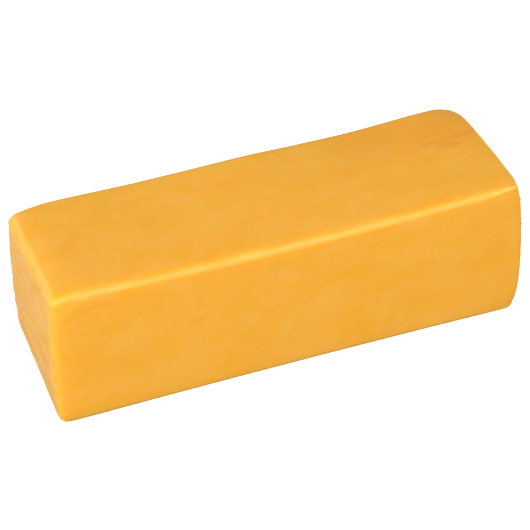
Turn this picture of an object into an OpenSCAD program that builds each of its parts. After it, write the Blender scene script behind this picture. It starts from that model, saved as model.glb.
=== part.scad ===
// A loaf of cheddar: one long solid block with soft rounded edges. It lies on its flat base,
// its length along X, its long front face towards -Y and its top at +Z. The origin is at the
// centre of the footprint, on the table. All sizes are in millimetres.
//
// The surface is a net of points laid over a plain box. Each point is first rounded off the
// box's edges, and then moved a little by the named rises, leans and hollows that the cheese
// took from its press, its wrap and the cutting wire.

/* [Loaf] */
// Length along X
loaf_length = 270; // [150:1:400]
// Width along Y
loaf_width = 92; // [60:0.5:140]
// Height over the middle of the base
loaf_height = 85; // [60:0.5:140]

/* [Rounded edges] */
// Radius of the long edges
side_round = 4.4; // [1.5:0.1:12]
// Radius of the edges round the left end
left_round = 6.7; // [1.5:0.1:14]
// Radius of the edges round the right end
right_round = 1.8; // [1.5:0.1:14]
// Radius of the edges that meet the table
base_round = 6; // [1.5:0.1:14]
// Distance over which one radius turns into the next
round_change = 20; // [10:1:30]

/* [Top face] */
// Rise of the top at each end over its middle
end_rise = 2; // [0:0.1:4]
// Fall of the top from its centre line to its back edge, and its rise to the front edge
back_fall = 2.9; // [0:0.1:4]
// What the ends add to that fall
back_fall_ends = 2.4; // [0:0.1:4]
// Height of the swelling on the back edge near the right end
swelling = 2.3; // [0:0.1:5]
// How far the swelling's crown lies from the right end
swelling_from_end = 18; // [5:1:60]
// Length from the swelling's crown to where it has mostly died away
swelling_reach = 34; // [15:1:60]
// Height of the ripples that run along the back edge
ripple = 0.4; // [0:0.1:1.5]
// Length of one ripple
ripple_length = 128; // [60:1:200]

/* [Long faces] */
// Depth of the hollow along the front face
front_hollow = 1.3; // [0:0.1:4]
// How far the top leans back over the base
lean = 2; // [0:0.1:5]

/* [Left end, cut by the wire] */
// How far the front edge of the end stands out, and the back edge draws in
left_skew = 0.6; // [0:0.1:5]
// How far the middle of the end's height bulges
left_bulge = 1.2; // [0:0.1:5]

/* [Right end] */
// How far the back edge of the end stands out, and the front edge draws in
right_skew = 0.6; // [0:0.1:5]
// How far the base of the end stands out, and the top draws in
right_lean = 1.7; // [0:0.1:5]
// How far the middle of the end's height bulges
right_bulge = 2.6; // [0:0.1:6]
// How far the middle of the end's width bulges
right_bow = 1.5; // [0:0.1:5]
// How far the top corner at the back is worn in
corner_wear = 2.1; // [0:0.1:5]
// How far the wear reaches from that corner
corner_reach = 8; // [5:0.5:25]

/* [Net] */
// Points across each half of a rounded edge
arc_steps = 5; // [3:1:6]
// Cells along the flat part of the length
length_steps = 38; // [20:1:40]
// Cells along the flat part of the width and of the height
face_steps = 10; // [6:1:12]

/* [Hidden] */

cheese = [0.95, 0.67, 0.23];

half_length = loaf_length / 2;
half_width = loaf_width / 2;
half_height = loaf_height / 2;
end_round = (left_round + right_round) / 2;

// Number of the last point along the length, and across the width or the height
last_x = 2 * arc_steps + length_steps;
last_f = 2 * arc_steps + face_steps;
// Points in one ring round the loaf, and inside the border of one end
ring = 4 * last_f;
inside = last_f - 1;

// Runs from 0 to 1 with a level start and finish
function ease(a) = let(b = max(0, min(1, a))) b * b * (3 - 2 * b);

// Clamps v to the span from -limit to limit
function clamp(v, limit) = max(-limit, min(limit, v));

// Place of point k across a face from -half to half. The steps in each outer radius are set
// so that they turn into equal angles on the rounded edge.
function step(k, flat_steps, half, radius) =
    k < arc_steps
    ? -half + radius * (1 - tan(45 * (1 - k / arc_steps)))
    : k > arc_steps + flat_steps
    ? -step(2 * arc_steps + flat_steps - k, flat_steps, half, radius)
    : (half - radius) * (2 * (k - arc_steps) / flat_steps - 1);

// Radius of the edges at a place along the length, and the same with the base's own radius
function radius_along(x) =
    let(end = x < 0 ? left_round : right_round)
    let(near_end = ease((abs(x) - half_length + round_change + end) / round_change))
    side_round + (end - side_round) * near_end;
function radius_at(p) =
    base_round + (radius_along(p.x) - base_round) * ease((p.z + half_height) / round_change);

// A point of the sharp box, moved onto the rounded box
function rounded(p) =
    let(r = radius_at(p))
    let(core = [
        clamp(p.x, half_length - r),
        clamp(p.y, half_width - r),
        clamp(p.z, half_height - r)
    ])
    core + r * (p - core) / norm(p - core);

// How far the top is lifted, for t and s from -1 to 1 along the length and the width
function top_lift(t, s) =
    let(back = (1 + s) / 2)
    let(from_crown = (half_length * (1 - t) - swelling_from_end) / swelling_reach)
    let(along_ripple = 360 * half_length * (1 - t) / ripple_length)
    end_rise * t * t
    - (back_fall + back_fall_ends * t * t) * s
    + swelling * exp(-from_crown * from_crown) * back * back
    + ripple * cos(along_ripple) * back;

// How far a point moves back, for u from -1 at the base to 1 at the top
function back_shift(t, s, u) =
    front_hollow * (1 - t * t) * (1 - s) / 2 + lean * u / 2;

// How far each end stands out
function left_shift(s, u) = -left_skew * s + left_bulge * (1 - u * u);
function right_shift(s, u) =
    right_skew * s - right_lean * u + right_bulge * (1 - u * u) + right_bow * (1 - s * s);
function end_shift(t, s, u) = t < 0 ? -t * t * left_shift(s, u) : t * t * right_shift(s, u);

// How far a point is worn in towards the middle at the top corner of the right end
function worn(p) =
    let(away = norm(p - [half_length, half_width, half_height]) / corner_reach)
    corner_wear * exp(-away * away);

// A point of the rounded box, moved onto the cheese. The base stays at height 0.
function shaped(p) =
    let(t = p.x / half_length)
    let(s = p.y / half_width)
    let(u = p.z / half_height)
    let(wear = worn(p))
    [
        p.x + end_shift(t, s, u) - wear,
        p.y + back_shift(t, s, u) - wear,
        (p.z + half_height) + top_lift(t, s) * (1 + u) / 2 - wear
    ];

// Numbers across the width and the height of point k in a ring, which goes up the front,
// back over the top, down the back and forward along the base
function ring_place(k) =
    k <= last_f ? [0, k]
    : k <= 2 * last_f ? [k - last_f, last_f]
    : k <= 3 * last_f ? [last_f, 3 * last_f - k]
    : [ring - k, 0];

// The point of the cheese at numbers i, a and b along the length, width and height
function net_point(i, a, b) =
    let(x = step(i, length_steps, half_length, end_round))
    let(r = radius_along(x))
    let(y = step(a, face_steps, half_width, r))
    let(z = step(b, face_steps, half_height, r))
    shaped(rounded([x, y, z]));

side_points = [
    for (i = [0:last_x], k = [0:ring - 1])
    let(place = ring_place(k)) net_point(i, place.x, place.y)
];
end_points = [
    for (i = [0, last_x], b = [1:inside], a = [1:inside]) net_point(i, a, b)
];
raw_points = concat(side_points, end_points);

// The whole net is moved so that its box is centred over the origin and stands at height 0
function middle(values) = (min(values) + max(values)) / 2;
shift = [
    middle([for (p = raw_points) p.x]),
    middle([for (p = raw_points) p.y]),
    min([for (p = raw_points) p.z])
];
points = [for (p = raw_points) p - shift];

// Number in the list of the point at a, b on the left end (end = 0) or the right end (end = 1)
function end_index(end, a, b) =
    let(start = end * last_x * ring)
    a == 0 ? start + b
    : b == last_f ? start + last_f + a
    : a == last_f ? start + 3 * last_f - b
    : b == 0 ? start + ring - a
    : len(side_points) + end * inside * inside + (b - 1) * inside + a - 1;

// Two triangles in place of one four-sided cell
function split(q) = [[q[0], q[1], q[2]], [q[0], q[2], q[3]]];

side_cells = [
    for (i = [0:last_x - 1], k = [0:ring - 1])
    let(next = (k + 1) % ring)
    [i * ring + k, i * ring + next, (i + 1) * ring + next, (i + 1) * ring + k]
];
left_cells = [
    for (a = [0:last_f - 1], b = [0:last_f - 1])
    [end_index(0, a, b), end_index(0, a + 1, b), end_index(0, a + 1, b + 1), end_index(0, a, b + 1)]
];
right_cells = [
    for (a = [0:last_f - 1], b = [0:last_f - 1])
    [end_index(1, a, b), end_index(1, a, b + 1), end_index(1, a + 1, b + 1), end_index(1, a + 1, b)]
];
triangles = [for (q = concat(side_cells, left_cells, right_cells), t = split(q)) t];

// The whole loaf, one closed solid
module cheese_block() {
    color(cheese) polyhedron(points = points, faces = triangles, convexity = 4);
}

cheese_block();
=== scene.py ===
# %% [markdown]
# # A loaf of cheddar
#
# The real thing is one solid piece of cheese, about the size of a loaf of bread. It is soft enough
# to take small marks from its press, its wrap and the hands that moved it, and firm enough to keep
# a square shape. The CAD model already has the loaf's true size, its rounded edges, and the slow
# rises and hollows of its faces. This lesson adds what a plain solid lacks: the fine relief, the
# torn end, the marks, and a finish that lets a little light into the cheese.

# %% Load the frame
import math

import bpy
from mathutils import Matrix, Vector


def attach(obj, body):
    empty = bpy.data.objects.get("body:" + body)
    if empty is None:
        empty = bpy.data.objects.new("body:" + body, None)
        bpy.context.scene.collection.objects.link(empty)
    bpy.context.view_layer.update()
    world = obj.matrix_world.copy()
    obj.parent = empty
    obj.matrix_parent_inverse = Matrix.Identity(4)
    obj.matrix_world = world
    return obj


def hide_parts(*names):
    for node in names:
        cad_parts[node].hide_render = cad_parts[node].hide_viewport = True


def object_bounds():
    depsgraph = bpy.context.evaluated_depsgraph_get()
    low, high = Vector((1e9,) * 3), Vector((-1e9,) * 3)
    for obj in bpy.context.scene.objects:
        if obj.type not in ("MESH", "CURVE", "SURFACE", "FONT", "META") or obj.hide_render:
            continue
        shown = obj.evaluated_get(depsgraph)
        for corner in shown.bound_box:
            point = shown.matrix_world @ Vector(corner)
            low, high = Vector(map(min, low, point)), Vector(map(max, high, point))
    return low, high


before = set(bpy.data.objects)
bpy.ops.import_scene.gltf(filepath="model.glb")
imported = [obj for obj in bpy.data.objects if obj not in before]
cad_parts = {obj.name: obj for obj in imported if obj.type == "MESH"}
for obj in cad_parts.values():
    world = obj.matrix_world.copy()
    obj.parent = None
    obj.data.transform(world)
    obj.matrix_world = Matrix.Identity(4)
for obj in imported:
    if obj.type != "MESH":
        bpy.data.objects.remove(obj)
cad_low, cad_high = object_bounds()
cad_size = cad_high - cad_low
print("The CAD loaf measures", [round(1000 * side, 1) for side in cad_size], "mm")

# %% [markdown]
# ## Units and places
#
# Blender works in metres here, but a loaf is easier to think about in millimetres, so one short
# name turns one into the other. The ends, the front, the base and the top come from the frame's
# box. Every mark below is placed from them or from the middle, so the marks stay on the cheese if
# its size changes.

# %% Name the sides of the loaf
mm = 0.001
left = cad_low.x
right = cad_high.x
front = cad_low.y
base = cad_low.z
top = cad_high.z
middle = (cad_low + cad_high) / 2
print("The top is", round(top / mm, 1), "mm over the table")

# %% [markdown]
# ## The camera
#
# A long lens from well back keeps the loaf's long edges almost parallel. The camera stands in front
# and a little to the left, and looks down by about forty degrees, so that the top, the long front
# face and the cut end all show. An empty and a Track To constraint could aim it. Here its turn is
# worked out once from the line of sight, so no constraint is left in the scene.

# %% Place the camera
def line_of_sight(turn, rise):
    """The direction from the loaf outwards, turned from straight in front and raised."""
    return Vector((math.sin(turn) * math.cos(rise), -math.cos(turn) * math.cos(rise), math.sin(rise)))


camera_azimuth = math.radians(-20.67)
camera_height_angle = math.radians(40.94)
camera_distance = 1.2483
camera_aim = middle + Vector((-1.9, -2.0, -5.9)) * mm
towards_camera = line_of_sight(camera_azimuth, camera_height_angle)
bpy.ops.object.camera_add(
    location=camera_aim + towards_camera * camera_distance,
    rotation=(-towards_camera).to_track_quat("-Z", "Y").to_euler(),
)
camera = bpy.context.object
camera.name = "camera"
camera.data.lens = 151.2
camera.data.sensor_width = 36
camera.data.clip_end = 20
bpy.context.scene.camera = camera
print("The camera stands at", [round(place, 3) for place in camera.location], "m")

# %% [markdown]
# ## A copy to work on
#
# The CAD mesh is loose triangles, and it stays as it is. The cheese starts as a copy of it. Merging
# the copy's doubled corners turns the triangles into one skin, and joining them in pairs gives back
# the four-sided cells that a subdivision surface likes. A box with a bevel could be modelled instead,
# but it would lose the exact form that the CAD loaf was given.

# %% Copy the loaf and merge its skin
def select_only(piece):
    """Selects one object alone, and makes it the active one."""
    bpy.ops.object.select_all(action="DESELECT")
    piece.select_set(True)
    bpy.context.view_layer.objects.active = piece


cad_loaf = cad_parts["cheese_block"]
loaf = bpy.data.objects.new("cheddar_loaf", cad_loaf.data.copy())
bpy.context.scene.collection.objects.link(loaf)
loaf.data.materials.clear()
select_only(loaf)
bpy.ops.object.mode_set(mode="EDIT")
bpy.ops.mesh.select_all(action="SELECT")
bpy.ops.mesh.remove_doubles(threshold=0.01 * mm)
bpy.ops.mesh.tris_convert_to_quads()
bpy.ops.object.mode_set(mode="OBJECT")
four_sided = sum(len(face.vertices) == 4 for face in loaf.data.polygons)
print("The skin has", len(loaf.data.polygons), "faces, and", four_sided, "of them are four-sided")

# %% [markdown]
# ## A smooth skin
#
# The rounded edges still show the CAD net's flat cells. A Subdivision Surface modifier splits each
# cell in four, twice, and moves the new corners onto a smooth skin. It is applied straight away,
# because the relief that follows needs real corners to move. The same number of levels is set for
# the viewport and the render.

# %% Subdivide the skin
def apply_modifier(piece, modifier):
    """Applies one modifier to the mesh, as the button in its panel does."""
    select_only(piece)
    bpy.ops.object.modifier_apply(modifier=modifier.name)


skin_levels = 2
smooth_skin = loaf.modifiers.new("smooth skin", "SUBSURF")
smooth_skin.levels = skin_levels
smooth_skin.render_levels = skin_levels
apply_modifier(loaf, smooth_skin)
print("The smooth skin has", len(loaf.data.polygons), "faces")

# %% [markdown]
# ## A list of the marks
#
# A loaf that has been handled carries a few small marks, and they are what makes it this loaf and
# not any loaf. The top has a crease near the right end, with a deep spot beside it and a faint deep
# patch behind it. The front has a pit, a broken scratch, two dimples, and a shallow press mark under
# its upper edge. One corner is worn, and two crumbs stick out of an edge. All are written down first,
# because both the mesh and the colours need them.
#
# A mark is a path with a reach, a depth and a stain. A depth under zero stands out of the skin. A
# stain over zero is deeper in colour, and one under zero is paler. On the deep spot and the deep patch
# the deeper colour is the cheese's own. In the dents of the crease, the pit, the dimples and the press
# mark it is painted shade. The path is given on the CAD box, and each of its points is then moved to
# the nearest place on the skin.

# %% Write down the marks
def mark(name, path, reach, depth, stain_and_shade=0.0):
    """One mark. Its path and reach are in metres, its depth is in millimetres."""
    on_skin = [loaf.closest_point_on_mesh(Vector(point))[1].copy() for point in path]
    return {"name": name, "path": on_skin, "reach": reach, "depth": depth, "stain_and_shade": stain_and_shade}


def on_top(edge, along, across):
    """A place on the top, in millimetres along from an edge and across from the middle."""
    return (edge + along * mm, middle.y + across * mm, top)


def on_front(edge, along, height):
    """A place on the front, in millimetres along from an edge and up from the base."""
    return (edge + along * mm, front, base + height * mm)


crease = [
    on_top(right, -38, 13.6),
    on_top(right, -30, 14.6),
    on_top(right, -21, 14.2),
    on_top(right, -8, 16.4),
]
deep_spot = [on_top(right, -30, 9.4), on_top(right, -22, 8.4)]
deep_patch = [on_top(right, -70, 34), on_top(right, -12, 28)]
pit = [on_front(middle.x, 48.8, 34.3), on_front(middle.x, 50, 34.7)]
upper_scratch = [on_front(left, 10.4, 50), on_front(left, 9.9, 53.2)]
lower_scratch = [on_front(left, 10.6, 45), on_front(left, 11, 47.6)]
press_mark = [on_front(left, 11, 76), on_front(left, 32, 80.6)]
left_dimple = [on_front(middle.x, -98, 60.2), on_front(middle.x, -95, 60.4)]
right_dimple = [on_front(middle.x, -57, 60.5), on_front(middle.x, -53, 60.9)]
upper_crumb = [on_front(right, -1.5, 81.6), on_front(right, -1.5, 82)]
lower_crumb = [on_front(right, -1.2, 63.6), on_front(right, -1.2, 64)]
worn_corner = [(right, front, top), (right, front + 1 * mm, top)]
# The deeper colour given to the crease, the pit, the dimples and the press mark is painted shade in
# their dents.
marks = [
    mark("crease in the top", crease, 3.2 * mm, 0.08, 0.4),
    mark("deep spot beside the crease", deep_spot, 5.0 * mm, 0.06, 0.55),
    mark("deep patch behind the crease", deep_patch, 36 * mm, 0.0, 0.42),
    mark("pit in the front", pit, 1.4 * mm, 0.4, 0.7),
    mark("upper scratch in the front", upper_scratch, 0.9 * mm, 0.1, -0.35),
    mark("lower scratch in the front", lower_scratch, 0.8 * mm, 0.1, -0.25),
    mark("press mark under the front edge", press_mark, 5.0 * mm, 0.12, 0.18),
    mark("left dimple", left_dimple, 2.6 * mm, 0.1, 0.22),
    mark("right dimple", right_dimple, 2.4 * mm, 0.1, 0.22),
    mark("upper crumb", upper_crumb, 1.1 * mm, -0.35),
    mark("lower crumb", lower_crumb, 1.2 * mm, -0.4),
    mark("worn corner", worn_corner, 9 * mm, 0.7),
]
print("The loaf has", len(marks), "marks")

# %% [markdown]
# ## How near a place is to a mark
#
# The nearness of a place is measured straight through space to the nearest point of the mark's path.
# Even the widest reach is less than half the loaf's thickness, so no mark comes through to the
# opposite side. The nearness runs from nothing at the mark's reach to one on its path.

# %% Measure nearness
def ease(amount):
    """Runs from 0 to 1 with a level start and finish."""
    clipped = max(0.0, min(1.0, amount))
    return clipped * clipped * (3 - 2 * clipped)


def grow(value, start, span):
    """Grows from 0 to 1 while a value goes from start through a span."""
    return ease((value - start) / span)


def nearness(place, item, margin=0.0):
    """How near a place is to a mark, from 0 to 1. The margin widens the mark's reach."""
    path = item["path"]
    reach = item["reach"] + margin
    if (place - path[0]).length > (path[-1] - path[0]).length + 2 * reach:
        return 0.0
    best = reach
    for start, end in zip(path, path[1:]):
        run = end - start
        share = max(0.0, min(1.0, (place - start).dot(run) / run.length_squared))
        best = min(best, (place - start - run * share).length)
    return ease(1 - best / reach)


print("On the crease the nearness is", nearness(marks[0]["path"][1], marks[0]))

# %% [markdown]
# ## A closer mesh where the marks are fine
#
# The long faces are almost smooth, and cells of one to two millimetres carry their slow waves. The
# cut end has tears of about that width, so its faces are subdivided once more. So are the places of
# the marks, with more cuts for the finest. A worn corner and a wide patch of colour need none. A
# closer mesh all over would hold no more to see, and cost far more.

# %% Subdivide the cut end and the places of the small marks
def select_faces(piece, wanted):
    """Selects the faces for which wanted(centre, normal) is true, and goes into edit mode."""
    select_only(piece)
    bpy.ops.object.mode_set(mode="EDIT")
    bpy.ops.mesh.select_mode(type="FACE")
    bpy.ops.mesh.select_all(action="DESELECT")
    bpy.ops.object.mode_set(mode="OBJECT")
    for face in piece.data.polygons:
        face.select = wanted(face.center, face.normal)
    bpy.ops.object.mode_set(mode="EDIT")


def subdivide_faces(piece, wanted, cuts):
    """Subdivides the wanted faces, and prints how many faces that added."""
    before = len(piece.data.polygons)
    select_faces(piece, wanted)
    bpy.ops.mesh.subdivide(number_cuts=cuts)
    bpy.ops.object.mode_set(mode="OBJECT")
    print("Subdividing added", len(piece.data.polygons) - before, "faces")


mark_margin = 1.5 * mm
fine_reach = 1.5 * mm
wide_reach = 6 * mm
few_cuts = 1
fine_cuts = 3
end_facing = -0.8
subdivide_faces(loaf, lambda centre, normal: normal.x < end_facing, few_cuts)
for item in marks:
    if item["reach"] < wide_reach:
        cuts = fine_cuts if item["reach"] < fine_reach else few_cuts
        subdivide_faces(loaf, lambda centre, normal: nearness(centre, item, mark_margin) > 0, cuts)

# %% [markdown]
# ## Weights that say where the relief goes
#
# A Displace modifier moves every corner of a mesh, unless a vertex group holds it back. Three groups
# are painted here by a rule instead of by brush. The first is the skin off the table: the base stays
# flat, because the loaf rests on it. The other two are the ends: the more squarely the skin faces
# along the loaf, the more of it belongs to its end.

# %% Paint the weights
def paint_weights(piece, name, weight):
    """Makes a vertex group with the weight weight(place, normal) at each corner."""
    group = piece.vertex_groups.new(name=name)
    for corner in piece.data.vertices:
        amount = weight(corner.co, corner.normal)
        if amount > 0:
            group.add([corner.index], amount, "REPLACE")
    return group


lift_off = 5 * mm
end_start = 0.45
end_span = 0.5


def off_table(place, normal):
    """Nothing on the base, one from the lift-off height up."""
    return grow(place.z, base, lift_off)


def on_left_end(place, normal):
    """One on the cut end, fading out over its rounded edges and towards the base."""
    return grow(-normal.x, end_start, end_span) * off_table(place, normal)


def on_right_end(place, normal):
    """One on the right end, fading out over its rounded edges and towards the base."""
    return grow(normal.x, end_start, end_span) * off_table(place, normal)


paint_weights(loaf, "off the table", off_table)
paint_weights(loaf, "left end", on_left_end)
paint_weights(loaf, "right end", on_right_end)
print("The loaf has", len(loaf.vertex_groups), "vertex groups")

# %% [markdown]
# ## Slow waves
#
# Cheddar is pressed curd. Its faces look flat, but light shows that they rise and fall by a few
# tenths of a millimetre: broad waves from the press, and small dimples where curd met the wrap.
# Sculpting them by hand would take long and could not be repeated. A Displace modifier with a
# clouds texture gives the same unevenness each time the script runs.

# %% Press the waves into the faces
def displace(piece, name, pattern, strength, group, guide=None):
    """Moves the skin in and out by a texture, within one vertex group, and applies it."""
    relief = piece.modifiers.new(name, "DISPLACE")
    relief.texture = pattern
    relief.strength = strength
    relief.mid_level = 0.5
    relief.vertex_group = group
    relief.texture_coords = "LOCAL"
    if guide is not None:
        relief.texture_coords = "OBJECT"
        relief.texture_coords_object = guide
    apply_modifier(piece, relief)


def clouds(name, size, depth):
    """A soft clouds texture whose blobs are about one size across."""
    pattern = bpy.data.textures.new(name, "CLOUDS")
    pattern.noise_basis = "ORIGINAL_PERLIN"
    pattern.noise_scale = size
    pattern.noise_depth = depth
    return pattern


displace(loaf, "press waves", clouds("press waves", 34 * mm, 1), 0.35 * mm, "off the table")
displace(loaf, "curd dimples", clouds("curd dimples", 9 * mm, 2), 0.10 * mm, "off the table")
print("The waves and dimples are in the mesh")

# %% [markdown]
# ## Soft shoulders
#
# On the CAD loaf each face runs on unchanged to the place where its rounded edge begins. Soft cheese
# has no such line: the top sinks slowly before the cut end, and a little before the front edge.
# A group that grows towards the edge lets a Displace modifier press the skin in there. Round the cut
# end a Smooth modifier then evens out the turn from face to face, so that the light fades over the
# edge instead of stopping at it. The base is left out of both.

# %% Press in the shoulders
front_share = 0.4
up_span = 0.7


def near_edge(gap, span):
    """Grows from nothing at a span's distance from an edge to one at the edge."""
    return ease(1 - gap / span)


def shoulder_weight(place, normal):
    """How far the skin is pressed in, where one is the most. Only skin that faces up is."""
    near_end = near_edge(place.x - left, 18 * mm)
    near_front = front_share * near_edge(place.y - front, 10 * mm)
    return grow(normal.z, 0, up_span) * max(near_end, near_front)


def cut_end_weight(place, normal):
    """One round the cut end, nothing on the rest of the loaf and on the base."""
    return near_edge(place.x - left - 7 * mm, 15 * mm) * off_table(place, normal)


paint_weights(loaf, "shoulders", shoulder_weight)
shoulders = loaf.modifiers.new("shoulders", "DISPLACE")
shoulders.strength = -0.9 * mm
shoulders.mid_level = 0
shoulders.vertex_group = "shoulders"
apply_modifier(loaf, shoulders)
paint_weights(loaf, "round the cut end", cut_end_weight)
soft_edges = loaf.modifiers.new("soft edges", "SMOOTH")
soft_edges.factor = 0.5
soft_edges.iterations = 260
soft_edges.vertex_group = "round the cut end"
apply_modifier(loaf, soft_edges)
print("The shoulders are pressed in, and the edges of the cut end are soft")

# %% [markdown]
# ## The torn end
#
# The left end was cut by a wire that went down through a cold block. A wire stutters as it goes,
# and each stutter tears a low ridge across the width. So the texture is stretched: an empty, scaled
# long across the loaf and short in height, stands as the texture's own space, and is turned a little
# so that the ridges fall towards the front. Broad tears come first and fine ones after. The right end
# was pressed and not cut, so it gets only faint lines in the same way.

# %% Tear the ends
def stretched_guide(name, along_x, along_y, along_z, tilt):
    """An empty that stretches a texture, and turns it about the loaf's length."""
    bpy.ops.object.empty_add(type="PLAIN_AXES", location=middle, rotation=(tilt, 0, 0))
    guide = bpy.context.object
    guide.name = name
    guide.scale = (along_x, along_y, along_z)
    bpy.context.view_layer.update()
    return guide


tear_tilt = math.radians(4)
skin_before = [corner.co.copy() for corner in loaf.data.vertices]
wide_tears = stretched_guide("wide tears", 8 * mm, 22 * mm, 4.2 * mm, tear_tilt)
fine_tears = stretched_guide("fine tears", 4 * mm, 10 * mm, 2.0 * mm, tear_tilt)
press_lines = stretched_guide("press lines", 8 * mm, 30 * mm, 7 * mm, 0)
displace(loaf, "wide tears", clouds("wide tears", 1, 2), 1.2 * mm, "left end", wide_tears)
displace(loaf, "fine tears", clouds("fine tears", 1, 1), 0.7 * mm, "left end", fine_tears)
displace(loaf, "press lines", clouds("press lines", 1, 2), 0.5 * mm, "right end", press_lines)
for guide in (wide_tears, fine_tears, press_lines):
    bpy.data.objects.remove(guide)
print("Both ends have their relief")

# %% [markdown]
# ## Keeping the tears for the finish
#
# Where the end is torn, the broken curd scatters light and looks paler. The finish has to know
# where that is, so each corner keeps a number in the mesh as an attribute: nothing off the cut
# end and in its hollows, and one on its highest ridges. The hollows and ridges are told apart by how
# many millimetres the tears moved the skin. A second noise in the material could look similar, but
# its pale streaks would not lie on the ridges.

# %% Store how torn the skin is
hollow = -0.25
ridge_rise = 0.6
torn_start = 0.75
torn_span = 0.22
tear = loaf.data.attributes.new("tear", "FLOAT", "POINT")
tornness = []
for corner, before in zip(loaf.data.vertices, skin_before):
    moved = (corner.co - before).dot(corner.normal) / mm
    on_cut_end = grow(-corner.normal.x, torn_start, torn_span)
    tornness.append(on_cut_end * grow(moved, hollow, ridge_rise))
tear.data.foreach_set("value", tornness)
print("On the highest ridge the tear is", round(max(tornness), 2))

# %% [markdown]
# ## Pressing in the marks
#
# Each mark with a depth gets a vertex group of its own, painted by nearness, and a Displace modifier
# with no texture, which moves the skin straight in or out. In edit mode the same could be done with a
# proportional move, but a painted group follows a curved path better. The stains of all the marks are
# then added up and stored for the finish. In the dents of the crease, the pit, the dimples and the
# press mark they are painted shade.

# %% Press in the marks
for item in marks:
    if item["depth"] == 0:
        continue
    group = paint_weights(loaf, item["name"], lambda place, normal: nearness(place, item))
    dent = loaf.modifiers.new(item["name"], "DISPLACE")
    dent.strength = -item["depth"] * mm
    dent.mid_level = 0
    dent.vertex_group = group.name
    apply_modifier(loaf, dent)
# The stored stains hold painted shade in the dents, as well as the cheese's own deeper and paler
# colours.
stain_and_shade = loaf.data.attributes.new("stain_and_shade", "FLOAT", "POINT")
stains_and_shade = [
    sum(item["stain_and_shade"] * nearness(corner.co, item) for item in marks if item["stain_and_shade"])
    for corner in loaf.data.vertices
]
stain_and_shade.data.foreach_set("value", stains_and_shade)
print("The stains run from", round(min(stains_and_shade), 2), "to", round(max(stains_and_shade), 2))

# %% [markdown]
# ## The finish
#
# Cheddar is a dense, slightly oily solid. Its colour comes from annatto, and is not the same all
# over: patches of curd are paler or more orange. Light goes a few millimetres in and comes out
# again, red furthest, so thin edges glow. The shader's subsurface does that. A slight gloss comes
# from the oil.

# %% Start the finish
def add_node(tree, kind, place, **settings):
    """Adds one node to a tree, at a place in the editor, with its settings."""
    node = tree.nodes.new(kind)
    node.location = place
    for key, value in settings.items():
        setattr(node, key, value)
    return node


def mix_colours(tree, place, factor, first, second):
    """Mixes two colours. Each input is a socket to link or a value to set."""
    mix = add_node(tree, "ShaderNodeMix", place, data_type="RGBA")
    # Of a Mix node's inputs, 0 is the factor, and 6 and 7 are the two colours.
    for socket, value in ((mix.inputs[0], factor), (mix.inputs[6], first), (mix.inputs[7], second)):
        if isinstance(value, bpy.types.NodeSocket):
            tree.links.new(value, socket)
        else:
            socket.default_value = value
    return mix.outputs[2]


def remap(tree, place, value, low, high, out_low=0.0, out_high=1.0):
    """Turns the span from low to high into the span from out_low to out_high, clamped."""
    node = add_node(tree, "ShaderNodeMapRange", place, clamp=True)
    tree.links.new(value, node.inputs["Value"])
    node.inputs["From Min"].default_value = low
    node.inputs["From Max"].default_value = high
    node.inputs["To Min"].default_value = out_low
    node.inputs["To Max"].default_value = out_high
    return node.outputs["Result"]


finish = bpy.data.materials.new("cheddar")
finish.use_nodes = True
nodes = finish.node_tree
shader = nodes.nodes["Principled BSDF"]
shader.location = (900, 0)
nodes.nodes["Material Output"].location = (1200, 0)
shader.inputs["IOR"].default_value = 1.45
shader.inputs["Subsurface Weight"].default_value = 0.85
shader.inputs["Subsurface Radius"].default_value = (4.5, 2.2, 0.5)
shader.inputs["Subsurface Scale"].default_value = 1.8 * mm
coordinates = add_node(nodes, "ShaderNodeTexCoord", (-1100, 0)).outputs["Object"]
print("The finish starts with a Principled shader")

# %% [markdown]
# ## Patches of curd
#
# Each patch was once a slab of curd, pressed flat with its neighbours. Two noises on Object
# coordinates give the patches: broad ones, stretched along the loaf, and short strokes that rise a
# little to the right. They change the colour by only a few hundredths, as more would look dirty.

# %% Colour the curd
def noise(tree, place, coordinates, period, detail, stretch=(1, 1, 1), turn=(0, 0, 0)):
    """A noise whose blobs are one period across, stretched and turned with the piece."""
    mapping = add_node(tree, "ShaderNodeMapping", (place[0] - 200, place[1]))
    mapping.vector_type = "TEXTURE"
    mapping.inputs["Rotation"].default_value = turn
    mapping.inputs["Scale"].default_value = [period * side for side in stretch]
    tree.links.new(coordinates, mapping.inputs["Vector"])
    field = add_node(tree, "ShaderNodeTexNoise", place)
    field.inputs["Scale"].default_value = 1
    field.inputs["Detail"].default_value = detail
    tree.links.new(mapping.outputs["Vector"], field.inputs["Vector"])
    return field.outputs["Fac"]


pale_curd = (0.880, 0.450, 0.054, 1)
deep_curd = (0.855, 0.408, 0.018, 1)
patch_field = noise(nodes, (-700, 300), coordinates, 14 * mm, 3, stretch=(1.8, 1, 1))
stroke_field = noise(
    nodes, (-700, 50), coordinates, 5 * mm, 2, stretch=(2.4, 1, 1), turn=(0, math.radians(-18), 0)
)
patch_mask = remap(nodes, (-500, 300), patch_field, 0.35, 0.65)
stroke_mask = remap(nodes, (-500, 50), stroke_field, 0.38, 0.62)
curd = mix_colours(nodes, (-300, 300), patch_mask, deep_curd, pale_curd)
curd_strokes = mix_colours(nodes, (-300, 50), stroke_mask, deep_curd, pale_curd)
curd = mix_colours(nodes, (-100, 200), 0.4, curd, curd_strokes)
print("The curd varies between two colours")

# %% [markdown]
# ## Pale tears
#
# On the cut end the ridges are paler and a little pink, and the hollows keep the colour of the
# cheese. The stored tears drive the mix.

# %% Colour the tears
torn_curd = (0.870, 0.500, 0.235, 1)
tear_height = add_node(nodes, "ShaderNodeAttribute", (-700, -250), attribute_name="tear").outputs["Fac"]
torn = remap(nodes, (-500, -250), tear_height, 0.0, 1.0, 0.0, 0.48)
curd = mix_colours(nodes, (100, 100), torn, curd, torn_curd)
print("The torn end is paler on its ridges")
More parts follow.
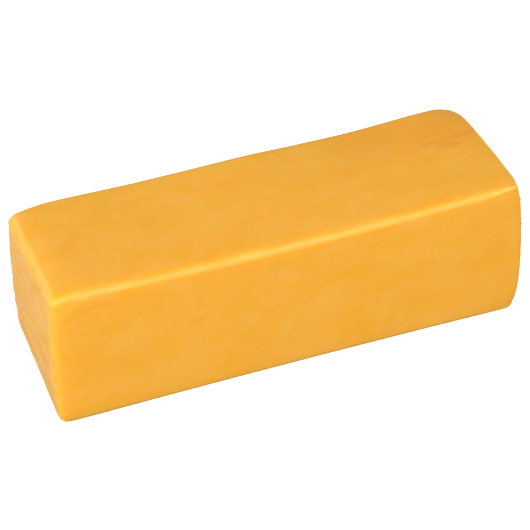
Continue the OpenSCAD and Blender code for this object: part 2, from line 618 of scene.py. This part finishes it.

# %% [markdown]
# ## Stained marks and painted shade
#
# Curd that was pressed hard is deeper in colour, as on the deep spot and the deep patch. The same
# deeper colour is put into the dents of the crease, the pit, the dimples and the press mark as painted
# shade. Where the curd was scratched it is dry and pale. The stored stains drive both.

# %% Colour the marks, and paint shade into the dents
# This deeper colour is the cheese's own on the deep spot and patch, and painted shade in the dents.
deeper_curd_and_shade = (0.790, 0.312, 0.014, 1)
scratched_curd = (0.890, 0.560, 0.200, 1)
stain_and_shade_value = add_node(nodes, "ShaderNodeAttribute", (-700, -500), attribute_name="stain_and_shade").outputs["Fac"]
deeper_and_shaded = remap(nodes, (-500, -450), stain_and_shade_value, 0.0, 1.0)
scratched = remap(nodes, (-500, -700), stain_and_shade_value, 0.0, -1.0)
curd = mix_colours(nodes, (300, 100), deeper_and_shaded, curd, deeper_curd_and_shade)
curd = mix_colours(nodes, (500, 100), scratched, curd, scratched_curd)
nodes.links.new(curd, shader.inputs["Base Color"])
print("The marks have their colours")

# %% [markdown]
# ## Gloss and grain
#
# The oil makes the skin gleam softly, and not evenly. The grain is finer than any mesh should
# carry: a bump of a few hundredths of a millimetre from one small noise.

# %% Add the gloss and the grain
gloss_field = noise(nodes, (300, -300), coordinates, 11 * mm, 2)
roughness = remap(nodes, (500, -300), gloss_field, 0.3, 0.7, 0.29, 0.38)
nodes.links.new(roughness, shader.inputs["Roughness"])
grain_field = noise(nodes, (300, -550), coordinates, 1.6 * mm, 3, stretch=(1.6, 1, 1))
grain_height = 0.08
grain = add_node(nodes, "ShaderNodeBump", (600, -550))
grain.inputs["Strength"].default_value = 0.5
grain.inputs["Distance"].default_value = grain_height * mm
nodes.links.new(grain_field, grain.inputs["Height"])
nodes.links.new(grain.outputs["Normal"], shader.inputs["Normal"])
loaf.data.materials.append(finish)
select_only(loaf)
bpy.ops.object.shade_smooth()
print("The grain is a bump of", grain_height, "mm at full strength, and is used at half")

# %% [markdown]
# ## The table and the light
#
# The loaf lies on a white table under a white sky, and the camera records both as full white, so
# the cheese stands clear. A real white table would throw so much light back that the front face
# lost its colour. So the camera sees this table, but the cheese does not: it is hidden from diffuse
# and glossy rays. For the same reason the sky is full white only to the camera, and about a third
# as strong to the loaf.
#
# Three soft boxes light the sides that face the camera. The left one is the strongest, so the cut
# end and the edges round it are brightest. A long narrow strip draws the thin gleam along the front
# edge of the top. Two weak boxes stand behind, so that the hidden sides do not go black.

# %% Make the table
bpy.ops.mesh.primitive_plane_add(size=12, location=(0, 0, base))
table = bpy.context.object
table.name = "table"
table_finish = bpy.data.materials.new("white table")
table_finish.use_nodes = True
table_shader = table_finish.node_tree.nodes["Principled BSDF"]
table_shader.inputs["Base Color"].default_value = (0.93, 0.93, 0.93, 1)
table_shader.inputs["Roughness"].default_value = 0.9
table_shader.inputs["Specular IOR Level"].default_value = 0.1
table_shader.inputs["Emission Color"].default_value = (1, 1, 1, 1)
table_shader.inputs["Emission Strength"].default_value = 0.8
table.data.materials.append(table_finish)
table.visible_diffuse = False
table.visible_glossy = False
print("The table is", round(table.dimensions.x, 1), "m across")

# %% Light the loaf
light_distance = 1.5


def soft_light(name, azimuth, elevation, width, height, power):
    """A rectangular light that faces the loaf. Its angles are those of the camera, in degrees."""
    turn = math.radians(azimuth)
    rise = math.radians(elevation)
    place = middle + line_of_sight(turn, rise) * light_distance
    bpy.ops.object.light_add(type="AREA", location=place)
    light = bpy.context.object
    light.name = name
    light.rotation_euler = (place - middle).to_track_quat("Z", "Y").to_euler()
    light.data.shape = "RECTANGLE"
    light.data.size = width
    light.data.size_y = height
    light.data.energy = power
    return light


soft_light("left box", -72, 27, 1.0, 1.4, 21.8)
soft_light("front left box", -40, 35, 1.0, 1.0, 1.6)
soft_light("front box", 12, 30, 1.6, 1.2, 10.2)
soft_light("strip over the front edge", 16, 45, 1.8, 0.06, 7.0)
soft_light("back right box", 120, 5, 1.4, 0.5, 3.6)
soft_light("back left box", -150, 8, 1.2, 0.5, 2.5)
sky = bpy.data.worlds.new("white sky")
sky.use_nodes = True
sky_nodes = sky.node_tree
fill = sky_nodes.nodes["Background"]
fill.inputs["Color"].default_value = (1, 1, 1, 1)
fill.inputs["Strength"].default_value = 0.32
backdrop = add_node(sky_nodes, "ShaderNodeBackground", (0, -200))
backdrop.inputs["Color"].default_value = (1, 1, 1, 1)
seen = add_node(sky_nodes, "ShaderNodeLightPath", (0, 300)).outputs["Is Camera Ray"]
either = add_node(sky_nodes, "ShaderNodeMixShader", (250, 0))
sky_nodes.links.new(seen, either.inputs[0])
sky_nodes.links.new(fill.outputs["Background"], either.inputs[1])
sky_nodes.links.new(backdrop.outputs["Background"], either.inputs[2])
sky_nodes.links.new(either.outputs["Shader"], sky_nodes.nodes["World Output"].inputs["Surface"])
bpy.context.scene.world = sky
bpy.context.scene.view_settings.view_transform = "Standard"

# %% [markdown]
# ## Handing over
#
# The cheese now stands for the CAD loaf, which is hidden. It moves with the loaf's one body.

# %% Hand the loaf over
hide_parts("cheese_block")
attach(loaf, "root")
